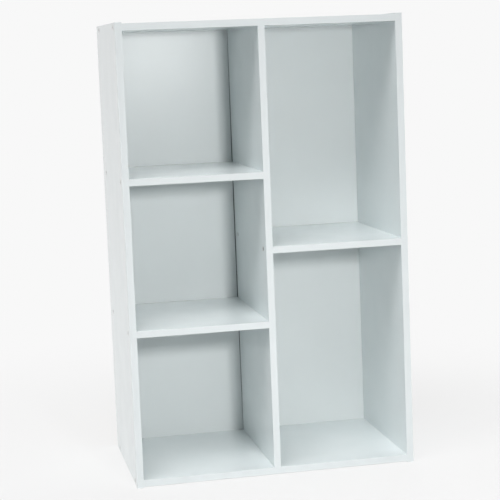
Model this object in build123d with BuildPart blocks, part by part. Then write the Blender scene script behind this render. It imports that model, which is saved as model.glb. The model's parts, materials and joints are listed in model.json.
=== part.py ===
"""Five-bay bookcase: a screwed chipboard carcass with its back panel held in grooves.

Three bays stand to the left of a centre divider and two taller ones to the right. Sizes are in
millimetres. The origin is on the floor below the middle of the case, +Z is up and the front faces -Y.
"""

import math
import os

from build123d import *

# Overall size of the case
WIDTH = 500.0
DEPTH = 292.0
HEIGHT = 800.0

# Boards and the strips that finish their edges
BOARD = 12.0  # thickness of every carcass board
EDGING = 0.5  # thickness of an edge strip
EDGING_BEVEL = 0.2  # bevel along the long outer edges of a strip
SIDE_LIP = 2.0  # how far the sides stand past the top and bottom panels

# Shelves of each column, named from the bottom up; the bays between them are equally tall
LEFT_SHELVES = ["lower_left_shelf", "upper_left_shelf"]
RIGHT_SHELVES = ["right_shelf"]

# Back panel and the groove that holds its four edges
BACK = 3.0  # thickness of the back panel
BACK_SETBACK = 13.0  # from the rear of the case to the rear face of the back panel
BACK_GAP = 1.0  # between the back panel and the rear edges of shelves and divider
GROOVE_DEPTH = 5.0
GROOVE_PLAY = 0.2  # play on each face of the panel in its groove
GROOVE_END_PLAY = 0.5  # between the panel's upper and side edges and the bottoms of their grooves

# Carcass screw, with a countersunk head and a hexagon socket, and its hole
SCREW_LENGTH = 40.0
SCREW_HEAD = 8.0  # head diameter; the head's cone slopes at 45 degrees
SCREW_BODY = 4.8  # mean diameter of the threaded body
SCREW_SINK = 0.2  # how far the head lies below the face of the board
SCREW_PLAY = 0.25  # play all round the screw in its hole
SCREW_INSET = 25.0  # from the front and rear edges of a shelf to its screws
SOCKET = 3.0  # across the flats of the socket
SOCKET_SIDES = 6
SOCKET_DEPTH = 2.4
HOLE_SIDES = 8  # below its round countersink the hole is drawn with flat sides, to keep the boards light

LEFT = (-1, 0, 0)
RIGHT = (1, 0, 0)
UP = (0, 0, 1)
DOWN = (0, 0, -1)

# Depths, from the front to the rear
front = -DEPTH / 2
rear = DEPTH / 2
core_front = front + EDGING
back_front = rear - BACK_SETBACK - BACK
inner_rear = back_front - BACK_GAP
panel_depth = rear - core_front
panel_centre = (rear + core_front) / 2
inner_depth = inner_rear - core_front
inner_centre = (inner_rear + core_front) / 2
groove_line = back_front + BACK / 2
screw_lines = [front + SCREW_INSET, inner_rear - SCREW_INSET]

# Widths, from the middle outwards
side_outer = WIDTH / 2
side_inner = side_outer - BOARD
side_middle = side_outer - BOARD / 2
divider_face = BOARD / 2
panel_width = 2 * side_inner
bay_width = side_inner - divider_face
bay_centre = (side_inner + divider_face) / 2

# Heights, from the floor up
bottom_low = SIDE_LIP
bottom_middle = bottom_low + BOARD / 2
bottom_top = bottom_low + BOARD
top_high = HEIGHT - SIDE_LIP
top_middle = top_high - BOARD / 2
top_low = top_high - BOARD
clear_height = top_low - bottom_top
clear_middle = (top_low + bottom_top) / 2
core_height = HEIGHT - EDGING


def shelf_middles(names):
    """Heights of the middles of the shelves that divide a column into equal bays."""
    bay = (clear_height - len(names) * BOARD) / (len(names) + 1)
    return [bottom_top + bay + BOARD / 2 + i * (bay + BOARD) for i in range(len(names))]


left_middles = shelf_middles(LEFT_SHELVES)
right_middles = shelf_middles(RIGHT_SHELVES)

os.makedirs("parts", exist_ok=True)


def finish(piece, name):
    """Name a finished piece and write it to its own file."""
    piece.part.label = name
    export_step(piece.part, f"parts/{name}.step")


# One screw, pointing down; height 0 is the face of the board that its head sinks into
head_radius = SCREW_HEAD / 2
body_radius = SCREW_BODY / 2
head_high = -SCREW_SINK
cone_low = head_high - head_radius + body_radius
screw_low = head_high - SCREW_LENGTH
with BuildPart() as screw:
    with BuildSketch(Plane.XZ):
        with BuildLine():
            Polyline(
                (0, head_high),
                (head_radius, head_high),
                (body_radius, cone_low),
                (body_radius, screw_low),
                (0, screw_low),
                close=True,
            )
        make_face()
    revolve(axis=Axis.Z)
    with BuildSketch(Plane.XY.offset(head_high)):
        RegularPolygon(SOCKET / 2, SOCKET_SIDES, major_radius=False)
    extrude(amount=-SOCKET_DEPTH, mode=Mode.SUBTRACT)

# The hole for it, as a solid to be cut out of both boards of a joint; the screw's tip stands on its end
hole_mouth = head_radius + SCREW_SINK + SCREW_PLAY
hole_flat = body_radius + SCREW_PLAY
hole_corner = hole_flat / math.cos(math.pi / HOLE_SIDES)
countersink_low = hole_corner - hole_mouth
with BuildPart() as screw_hole:
    with BuildSketch(Plane.XZ):
        with BuildLine():
            Polyline(
                (0, 0),
                (hole_mouth, 0),
                (hole_corner, countersink_low),
                (0, countersink_low),
                close=True,
            )
        make_face()
    revolve(axis=Axis.Z)
    with BuildSketch(Plane.XY.offset(countersink_low)):
        RegularPolygon(hole_flat, HOLE_SIDES, major_radius=False)
    extrude(amount=screw_low - countersink_low)


def butt_joint(x, z, outward):
    """Places of the screws of a joint: on the outer face through (x, z), which looks outward."""
    return [Plane(origin=(x, y, z), z_dir=outward) for y in screw_lines]


# The joints, each named after the board that the heads sink into and the one that the threads grip
left_to_bottom = butt_joint(-side_outer, bottom_middle, LEFT)
left_to_shelves = [butt_joint(-side_outer, middle, LEFT) for middle in left_middles]
left_to_top = butt_joint(-side_outer, top_middle, LEFT)
right_to_bottom = butt_joint(side_outer, bottom_middle, RIGHT)
right_to_shelves = [butt_joint(side_outer, middle, RIGHT) for middle in right_middles]
right_to_top = butt_joint(side_outer, top_middle, RIGHT)
divider_to_left_shelves = [butt_joint(divider_face, middle, RIGHT) for middle in left_middles]
divider_to_right_shelves = [butt_joint(-divider_face, middle, LEFT) for middle in right_middles]
top_to_divider = butt_joint(0, top_high, UP)
bottom_to_divider = butt_joint(0, bottom_low, DOWN)
left_joints = [left_to_bottom, *left_to_shelves, left_to_top]
right_joints = [right_to_bottom, *right_to_shelves, right_to_top]


def drill(joints):
    """Cut the screw holes of some joints into the board that is being built."""
    for joint in joints:
        with Locations(*joint):
            add(screw_hole.part, mode=Mode.SUBTRACT)


def cut_groove(face, length):
    """Cut the back panel's groove along the local X of a face."""
    with BuildSketch(face) as groove:
        Rectangle(length, BACK + 2 * GROOVE_PLAY)
    extrude(groove.sketch, amount=-GROOVE_DEPTH, mode=Mode.SUBTRACT)


# The two sides, from the floor to the strips on their upper ends
for hand, name, joints in ((-1, "left_side", left_joints), (1, "right_side", right_joints)):
    with BuildPart() as side:
        with BuildSketch(Plane.YZ.offset(hand * side_inner)):
            with Locations((panel_centre, core_height / 2)):
                Rectangle(panel_depth, core_height)
        extrude(amount=hand * BOARD)
        groove_middle = (hand * side_inner, groove_line, core_height / 2)
        cut_groove(Plane(groove_middle, x_dir=UP, z_dir=(-hand, 0, 0)), core_height)
        drill(joints)
    finish(side, name)

# The top and bottom panels, held between the sides
with BuildPart() as top_panel:
    with BuildSketch(Plane.XY.offset(top_low)):
        with Locations((0, panel_centre)):
            Rectangle(panel_width, panel_depth)
    extrude(amount=BOARD)
    cut_groove(Plane((0, groove_line, top_low), x_dir=RIGHT, z_dir=DOWN), panel_width)
    drill([left_to_top, right_to_top, top_to_divider])
finish(top_panel, "top_panel")

with BuildPart() as bottom_panel:
    with BuildSketch(Plane.XY.offset(bottom_low)):
        with Locations((0, panel_centre)):
            Rectangle(panel_width, panel_depth)
    extrude(amount=BOARD)
    cut_groove(Plane((0, groove_line, bottom_top), x_dir=RIGHT, z_dir=UP), panel_width)
    drill([left_to_bottom, right_to_bottom, bottom_to_divider])
finish(bottom_panel, "bottom_panel")

# The centre divider, from the bottom panel to the top panel
with BuildPart() as centre_divider:
    with BuildSketch(Plane.YZ.offset(-divider_face)):
        with Locations((inner_centre, clear_middle)):
            Rectangle(inner_depth, clear_height)
    extrude(amount=BOARD)
    drill([top_to_divider, bottom_to_divider, *divider_to_left_shelves, *divider_to_right_shelves])
finish(centre_divider, "centre_divider")

# The shelves, each between a side and the divider
left_column = zip(LEFT_SHELVES, left_middles, left_to_shelves, divider_to_left_shelves)
right_column = zip(RIGHT_SHELVES, right_middles, right_to_shelves, divider_to_right_shelves)
shelves = [(-bay_centre, *row) for row in left_column] + [(bay_centre, *row) for row in right_column]
for x, name, middle, *joints in shelves:
    with BuildPart() as shelf:
        with BuildSketch(Plane.XY.offset(middle - BOARD / 2)):
            with Locations((x, inner_centre)):
                Rectangle(bay_width, inner_depth)
        extrude(amount=BOARD)
        drill(joints)
    finish(shelf, name)

# The back panel, with its edges in the grooves of the four panels around it; it stands in the lower one
held_edge = GROOVE_DEPTH - GROOVE_END_PLAY
back_width = panel_width + 2 * held_edge
back_low = bottom_top - GROOVE_DEPTH
back_high = top_low + held_edge
with BuildPart() as back_panel:
    with BuildSketch(Plane.XZ.offset(-back_front)):
        with Locations((0, (back_low + back_high) / 2)):
            Rectangle(back_width, back_high - back_low)
    extrude(amount=-BACK)
finish(back_panel, "back_panel")

# The strips on the front edges: name, centre, width and height of each, seen from the front
front_strips = [
    ("left_side_front_edging", -side_middle, HEIGHT / 2, BOARD, HEIGHT),
    ("right_side_front_edging", side_middle, HEIGHT / 2, BOARD, HEIGHT),
    ("top_panel_edging", 0, top_middle, panel_width, BOARD),
    ("bottom_panel_edging", 0, bottom_middle, panel_width, BOARD),
    ("centre_divider_edging", 0, clear_middle, BOARD, clear_height),
]
front_strips += [(f"{name}_edging", x, middle, bay_width, BOARD) for x, name, middle, *_ in shelves]
for name, x, z, width, height in front_strips:
    with BuildPart() as strip:
        with BuildSketch(Plane.XZ.offset(-core_front)):
            with Locations((x, z)):
                Rectangle(width, height)
        extrude(amount=EDGING)
        front_edges = strip.faces().sort_by(Axis.Y)[0].edges()
        chamfer(front_edges.filter_by(Axis.X if width > height else Axis.Z), EDGING_BEVEL)
    finish(strip, name)

# The strips on the upper ends of the sides
for x, name in ((-side_middle, "left_side_top_edging"), (side_middle, "right_side_top_edging")):
    with BuildPart() as strip:
        with BuildSketch(Plane.XY.offset(core_height)):
            with Locations((x, panel_centre)):
                Rectangle(BOARD, panel_depth)
        extrude(amount=EDGING)
        upper_edges = strip.faces().sort_by(Axis.Z)[-1].edges()
        chamfer(upper_edges.filter_by(Axis.Y), EDGING_BEVEL)
    finish(strip, name)

# The screws, grouped by the board that their heads sink into
screw_groups = (
    ("left_side_screws", left_joints),
    ("right_side_screws", right_joints),
    ("divider_to_left_shelf_screws", divider_to_left_shelves),
    ("divider_to_right_shelf_screws", divider_to_right_shelves),
    ("top_to_divider_screws", [top_to_divider]),
    ("bottom_to_divider_screws", [bottom_to_divider]),
)
for name, joints in screw_groups:
    with BuildPart() as screws:
        for joint in joints:
            with Locations(*joint):
                add(screw.part)
    finish(screws, name)
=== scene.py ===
# %% [markdown]
# # A five-bay bookcase in white melamine
#
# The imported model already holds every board, edge strip and screw at its real size and in its place. What
# it lacks is what this lesson adds: finishes, the threads of the screws, light and a camera. Lengths are in
# metres, +Z is up, and the open front of the case looks towards -Y.

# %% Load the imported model
import json
import math

import bpy
import numpy as np
from mathutils import Color, Matrix, Vector


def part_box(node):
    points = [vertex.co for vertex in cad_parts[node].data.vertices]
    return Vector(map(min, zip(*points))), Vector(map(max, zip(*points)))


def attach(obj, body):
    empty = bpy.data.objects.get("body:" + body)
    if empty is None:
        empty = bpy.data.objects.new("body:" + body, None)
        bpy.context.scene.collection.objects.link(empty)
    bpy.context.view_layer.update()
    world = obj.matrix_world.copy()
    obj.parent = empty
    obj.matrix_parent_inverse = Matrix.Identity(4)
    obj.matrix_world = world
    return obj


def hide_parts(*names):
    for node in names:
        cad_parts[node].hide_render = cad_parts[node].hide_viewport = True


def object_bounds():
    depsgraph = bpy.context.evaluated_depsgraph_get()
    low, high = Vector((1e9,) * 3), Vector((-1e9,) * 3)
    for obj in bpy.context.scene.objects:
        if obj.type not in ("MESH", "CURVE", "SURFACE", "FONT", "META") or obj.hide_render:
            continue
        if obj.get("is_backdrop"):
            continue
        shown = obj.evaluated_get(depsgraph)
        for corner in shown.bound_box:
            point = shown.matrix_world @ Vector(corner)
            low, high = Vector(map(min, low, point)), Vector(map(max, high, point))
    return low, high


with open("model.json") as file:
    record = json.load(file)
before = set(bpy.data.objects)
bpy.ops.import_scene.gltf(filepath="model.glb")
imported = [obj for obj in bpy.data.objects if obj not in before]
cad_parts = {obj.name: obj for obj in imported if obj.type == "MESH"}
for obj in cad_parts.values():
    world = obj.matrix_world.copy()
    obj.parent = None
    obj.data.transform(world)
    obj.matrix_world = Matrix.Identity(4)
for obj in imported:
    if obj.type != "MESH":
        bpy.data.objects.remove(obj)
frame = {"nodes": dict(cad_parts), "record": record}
cad_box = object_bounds()
MM = 0.001
print("CAD box in mm:", [[round(c / MM, 1) for c in corner] for corner in cad_box])

# %% [markdown]
# ## What each node is
#
# The record gives every node a material slot, so the finishes need no list of names here. Each panel also
# has to know which way its thickness runs, because chipboard looks different on its faces and on its sawn
# sides. The shortest side of a panel's box answers that.

# %% Sort the nodes by their slot
nodes_in_slot = {}
for row in frame["record"]["subparts"]:
    nodes_in_slot.setdefault(row["material_slot"], []).append(row["node"])
for slot_name, node_names in nodes_in_slot.items():
    print(slot_name, "has", len(node_names), "nodes")

# %% Measure a panel


def measure_panel(node_name):
    """Middle of a panel's box, the index of its shortest side (0, 1, 2 for X, Y, Z), and half that side."""
    low, high = (np.array(corner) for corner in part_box(node_name))
    sides = high - low
    axis = int(np.argmin(sides))
    return (low + high) / 2, axis, sides[axis] / 2


_, _, half_shelf = measure_panel("right_shelf")
print("half a shelf's thickness in mm:", round(half_shelf / MM, 2))

# %% [markdown]
# ## The camera
#
# The photograph was taken from the left of the case and from just below its top, with a long lens. A new
# camera looks straight down, and a quarter turn makes it look level along +Y. From there its direction is
# easiest to read as three turns: a pan about the vertical, a tilt about the camera's own horizontal, and a
# roll about its line of sight. The slight shift of the lens puts the case where it lies in the frame.

# %% Make the camera
SENSOR_WIDTH = 36.0
FOCAL_LENGTH = 104.8
CAMERA_PLACE = (-0.531, -2.5876, 0.7425)
PAN = -11.53
TILT = -6.78
ROLL = -2.26
QUARTER_TURN = 90.0
LENS_SHIFT = -0.05


def turn(degrees, axis):
    """Rotation about one axis."""
    return Matrix.Rotation(math.radians(degrees), 4, axis)


camera_data = bpy.data.cameras.new("camera")
camera_data.sensor_width = SENSOR_WIDTH
camera_data.lens = FOCAL_LENGTH
camera_data.shift_y = LENS_SHIFT
camera = bpy.data.objects.new("camera", camera_data)
level_view = turn(QUARTER_TURN, "X")
camera.matrix_world = (
    Matrix.Translation(CAMERA_PLACE) @ turn(PAN, "Z") @ turn(TILT, "X") @ level_view @ turn(ROLL, "Z")
)
bpy.context.scene.collection.objects.link(camera)
bpy.context.scene.camera = camera
front_gap = cad_box[0][1] - CAMERA_PLACE[1]
print("camera", round(front_gap, 2), "m in front of the case")

# %% [markdown]
# ## Helpers for shader nodes
#
# A material is a graph, and Blender wants a line of code for each node, each value and each link. A few
# helpers keep the graphs readable: one adds a node and feeds its inputs, and the others stand for the sums
# and mixes that come up again and again. Each of those returns a socket, so that they nest like formulas.

# %% Add and feed a node


def feed(tree, socket, value):
    """Link a socket to another socket, or set it to a plain value."""
    if isinstance(value, bpy.types.NodeSocket):
        tree.links.new(value, socket)
    else:
        socket.default_value = value


def add_node(tree, kind, inputs=None, **settings):
    """Add a node of a kind, set its properties, then feed its named inputs."""
    node = tree.nodes.new(kind)
    for name, value in settings.items():
        setattr(node, name, value)
    for name, value in (inputs or {}).items():
        feed(tree, node.inputs[name], value)
    return node


# %% Sums, ranges, mixes and noise
WHOLE = (0.0, 1.0)


def calculate(tree, operation, *values):
    """The result of one Math node."""
    node = add_node(tree, "ShaderNodeMath", operation=operation)
    for socket, value in zip(node.inputs, values):
        feed(tree, socket, value)
    return node.outputs["Value"]


def remap(tree, value, old, new, curve="LINEAR"):
    """Value carried from the range old to the range new, and held at that range's ends."""
    node = add_node(tree, "ShaderNodeMapRange", interpolation_type=curve)
    for socket, number in zip(node.inputs, (value, *old, *new)):
        feed(tree, socket, number)
    return node.outputs["Result"]


def mix(tree, mask, first, second, kind="RGBA"):
    """First where the mask is 0, second where it is 1; colours, or numbers where kind is FLOAT."""
    node = add_node(tree, "ShaderNodeMix", data_type=kind)
    shown = {"RGBA": "Color", "FLOAT": "Float"}[kind]
    sockets = {socket.identifier: socket for socket in node.inputs}
    feed(tree, sockets["Factor_Float"], mask)
    feed(tree, sockets[f"A_{shown}"], first)
    feed(tree, sockets[f"B_{shown}"], second)
    return next(socket for socket in node.outputs if socket.identifier == f"Result_{shown}")


def noise(tree, vector, size, detail):
    """Noise around 0.5 whose largest lumps are about size metres across."""
    inputs = {"Vector": vector, "Scale": calculate(tree, "DIVIDE", 1.0, size), "Detail": detail}
    return add_node(tree, "ShaderNodeTexNoise", inputs).outputs[0]


# %% Colours from a paint chart
CHART_WHITE = 255


def colour(red, green, blue):
    """Linear colour from the 0 to 255 values that a paint chart gives."""
    chart = Color((red / CHART_WHITE, green / CHART_WHITE, blue / CHART_WHITE))
    return (*chart.from_srgb_to_scene_linear(), 1.0)


MID_GREY = 188
sent_back = colour(MID_GREY, MID_GREY, MID_GREY)[0]
print("a grey of", MID_GREY, "on the chart sends back", round(sent_back, 2), "of the light")

# %% [markdown]
# ## Effects that several finishes share
#
# Three effects turn up in more than one finish, so each is a node group with its own inputs. Mottling is
# the slow drift of tone that no printed or lacquered surface is free of. Pressed grain is the fine pebbling
# that a press plate or a roller leaves. Scuffs are the fine dull strokes that books and hands leave behind,
# running in and out of the bays. They come before the materials, because a group has to exist before a
# material can place it.

# %% Start a node group


def new_group(name, inputs, outputs):
    """Node group with named sockets; returns the group, what feeds it and what it puts out."""
    group = bpy.data.node_groups.new(name, "ShaderNodeTree")
    for direction, sockets in (("INPUT", inputs), ("OUTPUT", outputs)):
        for label, kind in sockets.items():
            group.interface.new_socket(name=label, in_out=direction, socket_type=f"NodeSocket{kind}")
    return group, group.nodes.new("NodeGroupInput").outputs, group.nodes.new("NodeGroupOutput").inputs


def place_group(tree, group, **inputs):
    """Place a node group in a material and feed its inputs; returns its outputs."""
    return add_node(tree, "ShaderNodeGroup", inputs, node_tree=group).outputs


# %% Mottling and pressed grain
NOISE_MIDDLE = (0.32, 0.68)


def make_mottling():
    """Slow noise, whose middle values are spread to the whole range from 0 to 1."""
    group, given, result = new_group(
        "mottling", {"Vector": "Vector", "Patch": "Float"}, {"Value": "Float"}
    )
    drift = noise(group, given["Vector"], given["Patch"], detail=2.0)
    feed(group, result["Value"], remap(group, drift, NOISE_MIDDLE, WHOLE))
    return group


def make_pressed_grain():
    """Height of fine pebbles: noise of the pebble's size with one finer layer on it."""
    group, given, result = new_group(
        "pressed_grain", {"Vector": "Vector", "Pebble": "Float"}, {"Height": "Float"}
    )
    feed(group, result["Height"], noise(group, given["Vector"], given["Pebble"], detail=1.0))
    return group


mottling = make_mottling()
pressed_grain = make_pressed_grain()
print("nodes in each:", len(mottling.nodes), "and", len(pressed_grain.nodes))

# %% Scuffs
STROKE_STRETCH = (1.0, 0.03, 1.0)
STROKE_PEAKS = (0.6, 0.72)
RUBBED_PATCH = 80.0 * MM
PATCH_PEAKS = (0.5, 0.65)


def make_scuffs():
    """Mask of thin strokes along Y: the peaks of a noise that is stretched that way, in scattered patches."""
    group, given, result = new_group(
        "scuffs", {"Vector": "Vector", "Stroke": "Float"}, {"Mask": "Float"}
    )
    drawn_out = add_node(
        group, "ShaderNodeMapping", {"Vector": given["Vector"], "Scale": STROKE_STRETCH}
    ).outputs["Vector"]
    stroke_noise = noise(group, drawn_out, given["Stroke"], detail=1.0)
    patch_noise = noise(group, given["Vector"], RUBBED_PATCH, detail=1.0)
    strokes = remap(group, stroke_noise, STROKE_PEAKS, WHOLE)
    patches = remap(group, patch_noise, PATCH_PEAKS, WHOLE)
    feed(group, result["Mask"], calculate(group, "MULTIPLY", strokes, patches))
    return group


scuffs = make_scuffs()
print("shared effects:", [group.name for group in bpy.data.node_groups])

# %% [markdown]
# ## White melamine on chipboard
#
# The boards are chipboard with a sheet of white resin-soaked paper pressed on each face. The white is a
# little cool, satin rather than glossy. The narrow sides were sawn, so where no strip covers them they show
# what the board is made of: flat chips that lie in the plane of the board, coarse and gappy in the middle
# and fine towards the faces. Painting the faces would take a mask by direction. It is simpler to follow
# the real layers: the shader asks how deep below the face a point lies, and answers paper or chips. The
# rear edges and the insides of the screw holes then come out right by themselves.

# %% The chipboard core
COARSE_CHIP = 4.0 * MM
FINE_CHIP = 1.2 * MM
CHIP_TONES = {0.0: colour(116, 84, 52), 0.35: colour(170, 133, 88), 1.0: colour(214, 186, 142)}
FINE_LAYER = (0.45, 0.75)
# Painted shade: the gaps between chips are darkened, because the hollows between them lie in shade.
PAINTED_GAP_SHADE = colour(74, 54, 36)
GAP_SHADE_REACH = (0.45, 0.85)
GAP_SHADE_SHARES = (0.0, 0.8)


def chips(group, vector, size):
    """Cells of about size metres: the tone of each, from 0 to 1, and the distance from its middle."""
    cells = add_node(group, "ShaderNodeTexVoronoi", {"Vector": vector, "Scale": 1.0 / size})
    tone = add_node(group, "ShaderNodeSeparateColor", {"Color": cells.outputs["Color"]}).outputs["Red"]
    return tone, cells.outputs["Distance"]


def make_chipboard():
    """Tone and height of chips: coarse cells where Depth is 0, mid-board, and fine ones where it is 1."""
    group, given, result = new_group(
        "chipboard", {"Vector": "Vector", "Depth": "Float"}, {"Color": "Color", "Height": "Float"}
    )
    coarse_tone, coarse_reach = chips(group, given["Vector"], COARSE_CHIP)
    fine_tone, fine_reach = chips(group, given["Vector"], FINE_CHIP)
    layer = remap(group, given["Depth"], FINE_LAYER, WHOLE)
    tone = mix(group, layer, coarse_tone, fine_tone, "FLOAT")
    reach = mix(group, layer, coarse_reach, fine_reach, "FLOAT")
    ramp = add_node(group, "ShaderNodeValToRGB", {"Fac": tone})
    stops = ramp.color_ramp.elements
    while len(stops) < len(CHIP_TONES):
        stops.new(1.0)
    for stop, (share, shade) in zip(stops, CHIP_TONES.items()):
        stop.position = share
        stop.color = shade
    # Painted shade in the hollows between the chips.
    gap_shade = remap(group, reach, GAP_SHADE_REACH, GAP_SHADE_SHARES)
    feed(group, result["Color"], mix(group, gap_shade, ramp.outputs["Color"], PAINTED_GAP_SHADE))
    feed(group, result["Height"], calculate(group, "SUBTRACT", 1.0, reach))
    return group


chipboard = make_chipboard()
print("chipboard group:", len(chipboard.nodes), "nodes")

# %% Start a material


def new_material(name):
    """Material with one Principled shader; returns the material, its tree and the shader's inputs."""
    material = bpy.data.materials.new(name)
    material.use_nodes = True
    return material, material.node_tree, material.node_tree.nodes["Principled BSDF"].inputs


def object_place(tree):
    """The point's own place on the piece, which every pattern hangs on."""
    return add_node(tree, "ShaderNodeTexCoord").outputs["Object"]


def bump(tree, height, depth, strength):
    """Normal that leans with a height field of a given depth in metres."""
    inputs = {"Height": height, "Distance": depth, "Strength": strength}
    return add_node(tree, "ShaderNodeBump", inputs).outputs["Normal"]


# %% [markdown]
# ## One material for each board
#
# A board's layers depend on where its middle lies and which way it is thick, so each board gets a material
# of its own from one recipe. The paper's roughness stays within a narrow band. Blender treats a surface as
# a mirror or as matt on either side of a roughness of about 0.27 when it cleans the picture of noise, and a
# finish that crosses that value shows blotches.

# %% Melamine on a board
AXES = "XYZ"
PAPER = 0.15 * MM
COOL_WHITE = (colour(233, 240, 241), colour(236, 242, 243))
PAPER_PATCH = 90.0 * MM
PAPER_PEBBLE = 0.9 * MM
PAPER_SATIN = (0.22, 0.25)
SCUFF_WIDTH = 1.5 * MM
SCUFF_DULLING = 0.02
CHIP_FLATNESS = 3.0
SAWN_ROUGHNESS = 0.9
GRAIN_DEPTH = 0.1 * MM
GRAIN_STRENGTH = 0.06


def make_board(node_name):
    """Melamine paper within PAPER of the board's faces, chipboard below it."""
    material, tree, shader = new_material(f"{node_name}_melamine")
    middle, axis, half = measure_panel(node_name)
    place = object_place(tree)
    to_middle = {"Vector": place, "Location": [-c for c in middle]}
    centred = add_node(tree, "ShaderNodeMapping", to_middle).outputs["Vector"]
    across = add_node(tree, "ShaderNodeSeparateXYZ", {"Vector": centred}).outputs[AXES[axis]]
    depth = calculate(tree, "DIVIDE", calculate(tree, "ABSOLUTE", across), half)
    paper = calculate(tree, "GREATER_THAN", depth, 1.0 - PAPER / half)

    flattened = [CHIP_FLATNESS if i == axis else 1.0 for i in range(len(AXES))]
    lying = add_node(tree, "ShaderNodeMapping", {"Vector": centred, "Scale": flattened}).outputs["Vector"]
    core = place_group(tree, chipboard, Vector=lying, Depth=depth)
    drift = place_group(tree, mottling, Vector=place, Patch=PAPER_PATCH)["Value"]
    pebbles = place_group(tree, pressed_grain, Vector=place, Pebble=PAPER_PEBBLE)["Height"]
    rubbed = place_group(tree, scuffs, Vector=place, Stroke=SCUFF_WIDTH)["Mask"]

    feed(tree, shader["Base Color"], mix(tree, paper, core["Color"], mix(tree, drift, *COOL_WHITE)))
    fresh = remap(tree, drift, WHOLE, PAPER_SATIN)
    satin = calculate(tree, "MULTIPLY_ADD", rubbed, SCUFF_DULLING, fresh)
    feed(tree, shader["Roughness"], mix(tree, paper, SAWN_ROUGHNESS, satin, "FLOAT"))
    rise = mix(tree, paper, core["Height"], pebbles, "FLOAT")
    feed(tree, shader["Normal"], bump(tree, rise, GRAIN_DEPTH, GRAIN_STRENGTH))
    return material


finish_of = {name: make_board(name) for name in nodes_in_slot["white_board"]}
print("board materials:", len(finish_of))

# %% [markdown]
# ## Edge strip
#
# The front edges are closed with a white strip half a millimetre thick, glued on and trimmed at a slight
# bevel. It comes from another roll than the boards' paper, so it is more matt, and it is a shade greyer:
# partly its own colour and partly painted shade that keeps the front edges, which face the front lamp, even
# in tone with the boards. It has no layers to show, so one material serves all the strips. Their patterns
# still differ, because the pattern hangs on the place where the strip lies.

# %% Edge strip material
# Partly painted shade: the strip's white is a shade greyer than the boards', to hold down the front edges
# under the front lamp.
STRIP_WHITE_WITH_PAINTED_SHADE = (colour(220, 226, 227), colour(223, 229, 230))
STRIP_ROUGHNESS = (0.5, 0.58)
STRIP_PATCH = 50.0 * MM
STRIP_PEBBLE = 0.6 * MM


def make_edge_strip():
    """Greyish white with fine pebbles, whose tone and gloss drift together."""
    material, tree, shader = new_material("edge_strip")
    place = object_place(tree)
    drift = place_group(tree, mottling, Vector=place, Patch=STRIP_PATCH)["Value"]
    pebbles = place_group(tree, pressed_grain, Vector=place, Pebble=STRIP_PEBBLE)["Height"]
    # The greyer white carries painted shade for the front edges.
    feed(tree, shader["Base Color"], mix(tree, drift, *STRIP_WHITE_WITH_PAINTED_SHADE))
    feed(tree, shader["Roughness"], remap(tree, drift, WHOLE, STRIP_ROUGHNESS))
    feed(tree, shader["Normal"], bump(tree, pebbles, GRAIN_DEPTH, GRAIN_STRENGTH))
    return material


edge_strip = make_edge_strip()
strips = {name: edge_strip for name in nodes_in_slot["white_edging"]}
finish_of.update(strips)
print("edge strips:", len(strips))

# %% [markdown]
# ## The back panel
#
# The back is a sheet of hardboard, three millimetres thick. The face towards the bays is lacquered white
# with a soft sheen, and a roller leaves a faint ripple in it. The photograph shows that sheen as a pale
# glow high up on the left. The other face is raw: brown fibre with the print of the wire screen on which
# the wet sheet was pressed. As with the boards, the layers decide: a point is lacquer if it lies within the
# lacquer's thickness of the front face.
#
# Only grooves at its edges hold the sheet, so between them its joint with the divider stands open. The
# photograph shows that joint as a thin dark line, widest half-way up and gone at the top and bottom. It is
# narrower than a pixel, and bending the sheet would only let light in, so the shade in the joint is painted
# into the lacquer as a dark line beside the divider: painted shade.

# %% The painted shade of the open joint beside the divider
# Painted shade of the open joint: its dark tone, its largest width and the fade at its edge.
PAINTED_JOINT_SHADE = colour(45, 52, 52)
PAINTED_SHADE_WIDTH = 1.7 * MM
PAINTED_SHADE_FADE = (0.5, 1.0)
LEAST_SHADE_SHARE = 0.02
FOOT_TO_HEAD = (-1.0, 1.0)


def past_painted_joint_shade(tree, along, sheet_name, board_name):
    """Mask for a sheet's painted joint shade: 0 where the shade of its open joint with the board in front of
    it is painted, and 1 past it.

    The painted line's width falls from its largest half-way up as 1 - v * v, where v runs from -1 to 1 over
    the sheet's height.
    """
    low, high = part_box(sheet_name)
    height = remap(tree, along["Z"], (low.z, high.z), FOOT_TO_HEAD)
    shade_spread = calculate(tree, "SUBTRACT", 1.0, calculate(tree, "MULTIPLY", height, height))
    width = calculate(tree, "MULTIPLY", calculate(tree, "MAXIMUM", shade_spread, LEAST_SHADE_SHARE), PAINTED_SHADE_WIDTH)
    middle, axis, half = measure_panel(board_name)
    off_middle = calculate(tree, "ABSOLUTE", calculate(tree, "SUBTRACT", along[AXES[axis]], middle[axis]))
    beside = calculate(tree, "SUBTRACT", off_middle, half)
    return remap(tree, calculate(tree, "DIVIDE", beside, width), PAINTED_SHADE_FADE, WHOLE)


# How wide the painted shade of the joint gets at most.
print("the joint shows up to", round(PAINTED_SHADE_WIDTH / MM, 1), "mm wide")

# %% Back panel material
LACQUER = 0.1 * MM
LACQUER_WHITE = (colour(230, 235, 235), colour(232, 237, 237))
LACQUER_ROUGHNESS = (0.276, 0.288)
LACQUER_GLOSS = 0.3
LACQUER_PATCH = 120.0 * MM
ROLLER_RIPPLE = 2.5 * MM
FIBRE_BROWN = (colour(124, 88, 55), colour(154, 115, 77))
FIBRE_ROUGHNESS = 0.85
FIBRE_PATCH = 3.0 * MM
SCREEN_PITCH = 1.6 * MM
SHEET_RELIEF = 0.2 * MM


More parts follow.
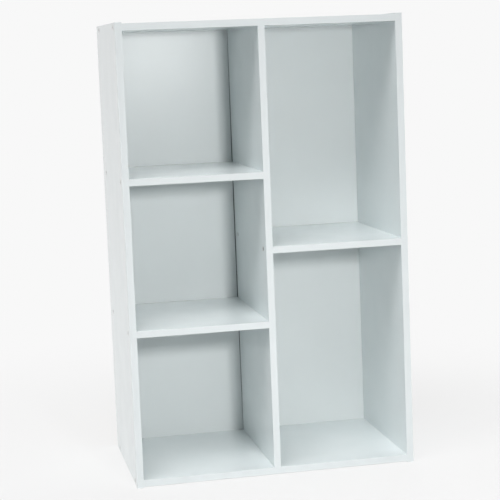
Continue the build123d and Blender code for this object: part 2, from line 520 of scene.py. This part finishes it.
def make_back_panel(node_name):
    """Lacquer on the front face; behind it fibre with a screen print, the product of two sine waves."""
    material, tree, shader = new_material("hardboard")
    low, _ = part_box(node_name)
    place = object_place(tree)
    along = add_node(tree, "ShaderNodeSeparateXYZ", {"Vector": place}).outputs
    lacquer = calculate(tree, "LESS_THAN", along["Y"], low.y + LACQUER)
    drift = place_group(tree, mottling, Vector=place, Patch=LACQUER_PATCH)["Value"]
    ripple = place_group(tree, pressed_grain, Vector=place, Pebble=ROLLER_RIPPLE)["Height"]
    fibre = place_group(tree, mottling, Vector=place, Patch=FIBRE_PATCH)["Value"]
    angles = [calculate(tree, "MULTIPLY", along[axis], math.tau / SCREEN_PITCH) for axis in "XZ"]
    screen = calculate(tree, "MULTIPLY", *(calculate(tree, "SINE", angle) for angle in angles))

    # Painted shade: the lacquer turns dark in a thin line beside the divider, where the open joint lies in
    # shade.
    clear_of_painted_shade = past_painted_joint_shade(tree, along, node_name, "centre_divider")
    white = mix(tree, clear_of_painted_shade, PAINTED_JOINT_SHADE, mix(tree, drift, *LACQUER_WHITE))
    feed(tree, shader["Base Color"], mix(tree, lacquer, mix(tree, fibre, *FIBRE_BROWN), white))
    sheen = remap(tree, drift, WHOLE, LACQUER_ROUGHNESS)
    feed(tree, shader["Roughness"], mix(tree, lacquer, FIBRE_ROUGHNESS, sheen, "FLOAT"))
    shader["Specular IOR Level"].default_value = LACQUER_GLOSS
    rise = mix(tree, lacquer, screen, ripple, "FLOAT")
    feed(tree, shader["Normal"], bump(tree, rise, SHEET_RELIEF, GRAIN_STRENGTH))
    return material


for node_name in nodes_in_slot["white_hardboard"]:
    finish_of[node_name] = make_back_panel(node_name)
print("screen print:", round(1 / SCREEN_PITCH), "wires to the metre")

# %% [markdown]
# ## Give the nodes their finishes
#
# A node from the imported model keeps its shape. Only its material slot changes hands.

# %% Assign the finishes
for node_name, finish in finish_of.items():
    mesh = frame["nodes"][node_name].data
    mesh.materials.clear()
    mesh.materials.append(finish)
print("finished nodes:", len(finish_of))

# %% [markdown]
# ## The screws
#
# Countersunk connector screws with a hexagon socket hold every joint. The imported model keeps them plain, so
# here each gets its socket's chamfer, its rounded rim and a coarse thread. Blender's Screw modifier could
# wind the thread, but the head would then be a second mesh to join to it. A screw is a turned part, and a
# turned part is one surface: a ring that is carried along the axis while its radius changes. The thread is
# the same ring with a ridge that moves round as the ring moves on, so one formula gives all of it.

# %% The screw's sizes
HEAD_RADIUS = 4.0 * MM
NECK_RADIUS = 2.4 * MM
ROOT_RADIUS = 1.75 * MM
SOCKET_SIDES = 6
SOCKET_FLAT = 1.5 * MM
SOCKET_DEPTH = 2.4 * MM
RIM = 0.15 * MM
SCREW_LENGTH = 40.0 * MM
THREAD_PITCH = 3.0 * MM
RIDGE_SHARE = 0.3
CREST = 0.5
TIP_SHARE = 0.6
AROUND = 36
ROWS_PER_TURN = 8
thread_start = HEAD_RADIUS - NECK_RADIUS + RIM
thread_turns = (SCREW_LENGTH - thread_start) / THREAD_PITCH
print("a screw has", round(thread_turns, 1), "turns of thread")

# %% The screw's surface


def head_rings(angle):
    """Radius and depth of the head's rings, one row a ring and one column a direction round the axis.

    The first rings climb the hexagon's wall, whose radius is flat / cos(angle from the nearest flat's
    middle). The next cross the head, round its rim and run down the cone to the neck.
    """
    side = math.tau / SOCKET_SIDES
    hexagon = SOCKET_FLAT / np.cos((angle + side / 2) % side - side / 2)
    rings = [
        (hexagon, SOCKET_DEPTH),
        (hexagon, RIM),
        (hexagon + RIM, 0.0),
        (HEAD_RADIUS - RIM, 0.0),
        (HEAD_RADIUS, RIM),
        (NECK_RADIUS, thread_start),
    ]
    radius = np.array([np.broadcast_to(ring, AROUND) for ring, _ in rings])
    return radius, np.array([np.full(AROUND, depth) for _, depth in rings])


def thread_rings(angle):
    """Radius and depth of the thread's rings, in the same layout.

    The radius is root + (crest - root) * ridge, and the ridge is a triangle in depth / pitch - angle / full
    turn. Over the last turn the ridge dies away and the root narrows to the tip.
    """
    depth = np.linspace(thread_start, SCREW_LENGTH, int(thread_turns * ROWS_PER_TURN))[1:, None]
    phase = (depth / THREAD_PITCH - angle / math.tau) % 1.0
    ridge = np.clip(1 - np.abs(phase - CREST) / RIDGE_SHARE, *WHOLE)
    fade = np.clip((SCREW_LENGTH - depth) / THREAD_PITCH, *WHOLE)
    root = ROOT_RADIUS * (TIP_SHARE + (1 - TIP_SHARE) * fade)
    radius = root + (NECK_RADIUS - ROOT_RADIUS) * ridge * fade
    return radius, np.broadcast_to(depth, radius.shape)


spoke_angle = np.arange(AROUND) * math.tau / AROUND
screw_parts = zip(head_rings(spoke_angle), thread_rings(spoke_angle))
ring_radius, ring_depth = (np.vstack(part) for part in screw_parts)
print("a screw has", len(ring_radius), "rings of", AROUND, "points")

# %% The screw's faces


def ring_faces(copies):
    """Quads between neighbouring rings, and a lid on the first and last ring, for each copy."""
    rings = len(ring_radius)
    row = np.arange(rings - 1)[:, None] * AROUND
    column = np.arange(AROUND)
    beside = (column + 1) % AROUND
    quads = np.stack([row + column, row + beside, row + AROUND + beside, row + AROUND + column], -1)
    start = np.arange(copies) * rings * AROUND
    sides = (quads + start[:, None, None, None]).reshape(-1, quads.shape[-1])
    floors = start[:, None] + column[::-1]
    tips = start[:, None] + (rings - 1) * AROUND + column
    return sides.tolist() + floors.tolist() + tips.tolist()


print("faces in a screw:", len(ring_faces(1)))

# %% [markdown]
# ## Zinc-plated steel
#
# In the photograph the heads are small dark marks on the white boards. A metal has no paint of its own: it
# shows its surroundings, only darker. So the plating's dulled grey decides how dark the marks come out, and
# a drift between satin and matt keeps one head from looking like the next.

# %% Zinc plating
ZINC = (colour(104, 106, 109), colour(140, 142, 144))
ZINC_ROUGHNESS = (0.28, 0.45)
ZINC_PATCH = 2.0 * MM


def make_screw_steel():
    """Dull grey metal whose plating drifts from satin to matt."""
    material, tree, shader = new_material("zinc_plated_steel")
    drift = place_group(tree, mottling, Vector=object_place(tree), Patch=ZINC_PATCH)["Value"]
    feed(tree, shader["Base Color"], mix(tree, drift, *ZINC))
    shader["Metallic"].default_value = 1.0
    feed(tree, shader["Roughness"], remap(tree, drift, WHOLE, ZINC_ROUGHNESS))
    return material


screw_steel = make_screw_steel()
print(screw_steel.name, "has", len(screw_steel.node_tree.nodes), "nodes")

# %% [markdown]
# ## Where the screws go
#
# Each group of screws passes through one board into the ends of others. The group's own box tells where the
# heads lie and how far apart the two screws of a joint are, and the middle of the board that receives them
# gives the rest. The sockets are turned a little differently from screw to screw, as a fitter leaves them.

# %% Which way each group points, and the boards that receive it
DEPTH_AXIS = AXES.index("Y")
JOINTS = {
    "left_side_screws": ("X", 1, ["bottom_panel", "lower_left_shelf", "upper_left_shelf", "top_panel"]),
    "right_side_screws": ("X", -1, ["bottom_panel", "right_shelf", "top_panel"]),
    "divider_to_left_shelf_screws": ("X", -1, ["lower_left_shelf", "upper_left_shelf"]),
    "divider_to_right_shelf_screws": ("X", 1, ["right_shelf"]),
    "top_to_divider_screws": ("Z", -1, ["centre_divider"]),
    "bottom_to_divider_screws": ("Z", 1, ["centre_divider"]),
}


def head_places(group_name, axis, sign, receivers):
    """Middle of each screw head: two for each receiving board."""
    low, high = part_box(group_name)
    head_plane = (low if sign > 0 else high)[axis]
    places = []
    for receiver in receivers:
        middle, thin, _ = measure_panel(receiver)
        for depth in (low.y + HEAD_RADIUS, high.y - HEAD_RADIUS):
            place = np.zeros(len(AXES))
            place[axis] = head_plane
            place[DEPTH_AXIS] = depth
            place[thin] = middle[thin]
            places.append(place)
    return np.array(places)


print("screwed joints:", sum(len(receivers) for _, _, receivers in JOINTS.values()))

# %% Make a group of screws
SOCKET_TURN = math.radians(23)
SHARP_EDGE = math.radians(40)


def make_screws(group_name, axis_name, sign, receivers, material):
    """Threaded screws in place of a group of plain ones: head + depth * inward + radius * spoke."""
    axis = AXES.index(axis_name)
    heads = head_places(group_name, axis, sign, receivers)
    unit = np.eye(len(AXES))
    inward = sign * unit[axis]
    sideways = unit[DEPTH_AXIS]
    upward = np.cross(inward, sideways)
    turned = spoke_angle + SOCKET_TURN * np.arange(len(heads))[:, None, None]
    spoke = np.cos(turned)[..., None] * sideways + np.sin(turned)[..., None] * upward
    points = heads[:, None, None] + ring_depth[..., None] * inward + ring_radius[..., None] * spoke
    mesh = bpy.data.meshes.new(group_name)
    mesh.from_pydata(points.reshape(-1, len(AXES)).tolist(), [], ring_faces(len(heads)))
    mesh.shade_smooth()
    mesh.set_sharp_from_angle(angle=SHARP_EDGE)
    mesh.materials.append(material)
    piece = bpy.data.objects.new(f"threaded_{group_name}", mesh)
    bpy.context.scene.collection.objects.link(piece)
    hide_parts(group_name)
    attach(piece, "root")
    return len(heads)


for group_name, joint in JOINTS.items():
    print(group_name, "has", make_screws(group_name, *joint, screw_steel), "screws")

# %% [markdown]
# ## The studio
#
# The case stands on a sheet of white paper in front of a white backdrop. Where a ray looks at the paper, the
# sheet is mostly see-through, so that only a soft shadow of the case is left, and with distance it fades out
# altogether. For the light that bounces off it the paper is whole, because a white floor in front of the
# case is what brightens the undersides of the shelves. The share that is see-through stays above three
# quarters everywhere: below that the picture is cleaned of noise in another way, and the change would show
# as a ring on the floor.

# %% What a ray is for


def seen_rays(tree):
    """1 for rays that look at a thing, directly, in a mirror or through glass, and 0 for bounced light."""
    rays = add_node(tree, "ShaderNodeLightPath").outputs
    looking = calculate(tree, "MAXIMUM", rays["Is Camera Ray"], rays["Is Glossy Ray"])
    return calculate(tree, "MAXIMUM", looking, rays["Is Transmission Ray"])


# %% The floor
FLOOR_REACH = 1.4
FADE_RADII = (0.3, 1.3)
FADE_SHARES = (0.78, 1.0)
FLOOR_WHITE = colour(243, 243, 243)
FLOOR_ROUGHNESS = 0.9
PAPER_TOOTH = 1.5 * MM
TOOTH_STRENGTH = 0.05
SHEET_CORNERS = [(-1, -1, 0), (1, -1, 0), (1, 1, 0), (-1, 1, 0)]


def make_floor_paper():
    """Matt white paper, see-through for looking rays by a share that grows between FADE_RADII."""
    material, tree, shader = new_material("floor_paper")
    place = object_place(tree)
    tooth = place_group(tree, pressed_grain, Vector=place, Pebble=PAPER_TOOTH)["Height"]
    shader["Base Color"].default_value = FLOOR_WHITE
    shader["Roughness"].default_value = FLOOR_ROUGHNESS
    shader["Specular IOR Level"].default_value = 0.0
    feed(tree, shader["Normal"], bump(tree, tooth, GRAIN_DEPTH, TOOTH_STRENGTH))
    reach = add_node(tree, "ShaderNodeVectorMath", {0: place}, operation="LENGTH").outputs["Value"]
    fade = remap(tree, reach, FADE_RADII, FADE_SHARES, "SMOOTHSTEP")
    gone = calculate(tree, "MULTIPLY", fade, seen_rays(tree))
    paper = tree.nodes["Principled BSDF"].outputs["BSDF"]
    clear = add_node(tree, "ShaderNodeBsdfTransparent").outputs["BSDF"]
    blend = add_node(tree, "ShaderNodeMixShader", {0: gone, 1: paper, 2: clear}).outputs["Shader"]
    feed(tree, tree.nodes["Material Output"].inputs["Surface"], blend)
    return material


floor_mesh = bpy.data.meshes.new("floor")
one_face = [range(len(SHEET_CORNERS))]
floor_mesh.from_pydata((np.array(SHEET_CORNERS) * FLOOR_REACH).tolist(), [], one_face)
floor_mesh.materials.append(make_floor_paper())
floor = bpy.data.objects.new("floor", floor_mesh)
bpy.context.scene.collection.objects.link(floor)
floor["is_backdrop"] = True
print("floor sheet:", 2 * FLOOR_REACH, "m square")

# %% The backdrop
BACKDROP = colour(248, 248, 248)
AMBIENT = 0.02

world = bpy.data.worlds.new("studio")
bpy.context.scene.world = world
world.use_nodes = True
studio = world.node_tree
backdrop = studio.nodes["Background"].inputs
backdrop["Color"].default_value = BACKDROP
feed(studio, backdrop["Strength"], remap(studio, seen_rays(studio), WHOLE, (AMBIENT, 1.0)))
print("the backdrop lights the case with", AMBIENT, "of its own brightness")

# %% [markdown]
# ## The lights
#
# The photograph's shadows tell where its lights were. Each shelf throws a soft shadow down onto the back,
# and the divider throws one to the left: that is a small lamp in front, level with the top and a little to
# the right. The line that slants across the divider and the right side comes from a wide softbox high up on
# the left, and a third one keeps the outer left side bright. The two on the right and behind barely reach
# the front. They are there so that the case isn't dark when it is seen from those sides. These three only
# fill in: they are left out of reflections, or the satin boards would glare in a low view.
#
# Light adds up, so the lamps' powers can be worked out: the case is rendered with one lamp at a time, and
# the mix of those pictures that comes nearest to the photograph gives each lamp's share. A lamp is hidden
# from the camera, because in a view from behind it would hang in the picture.

# %% Hang the softboxes
MID_CASE = (0.0, 0.0, 0.4)
LOW_CASE = (0.0, 0.0, 0.1)
SOFTBOXES = {
    "front_lamp": dict(
        place=(0.105, -1.9, 0.788), aim=LOW_CASE, size=(0.15, 0.15), watts=5.4, spread=110, mirrored=True
    ),
    "high_softbox": dict(
        place=(-2.1, -2.9, 5.6), aim=MID_CASE, size=(5.2, 2.4), watts=285.0, spread=180, mirrored=True
    ),
    "left_softbox": dict(
        place=(-2.2, 0.4, 0.6), aim=MID_CASE, size=(1.5, 1.5), watts=11.5, spread=180, mirrored=False
    ),
    "right_softbox": dict(
        place=(2.2, 0.5, 0.7), aim=MID_CASE, size=(1.5, 1.5), watts=17.0, spread=180, mirrored=False
    ),
    "rear_softbox": dict(
        place=(0.9, 2.5, 1.0), aim=MID_CASE, size=(1.6, 1.6), watts=34.0, spread=180, mirrored=False
    ),
}


def hang_lamp(name, place, aim, size, watts, spread, mirrored):
    """Area lamp, width by height in metres, that faces its aim; reflections show it if it is mirrored."""
    lamp_data = bpy.data.lights.new(name, "AREA")
    lamp_data.shape = "RECTANGLE"
    lamp_data.size, lamp_data.size_y = size
    lamp_data.energy = watts
    lamp_data.spread = math.radians(spread)
    lamp = bpy.data.objects.new(name, lamp_data)
    lamp.location = place
    lamp.rotation_euler = (Vector(aim) - Vector(place)).to_track_quat("-Z", "Y").to_euler()
    lamp.visible_camera = False
    lamp.visible_glossy = mirrored
    bpy.context.scene.collection.objects.link(lamp)


for lamp_name, settings in SOFTBOXES.items():
    hang_lamp(lamp_name, **settings)
    print(lamp_name, "gives", settings["watts"], "W")
bpy.context.scene.view_settings.view_transform = "Standard"

# %% [markdown]
# ## Check the size
#
# The dressed case may not outgrow the imported one. The finishes lie in the materials and the threads stay in
# their holes, so both boxes should agree. The script prints how far they differ.

# %% Measure both boxes
visual_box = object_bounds()
growth = np.abs(np.array(visual_box) - np.array(cad_box)).max() / MM
print("the two boxes differ by", round(float(growth), 3), "mm")
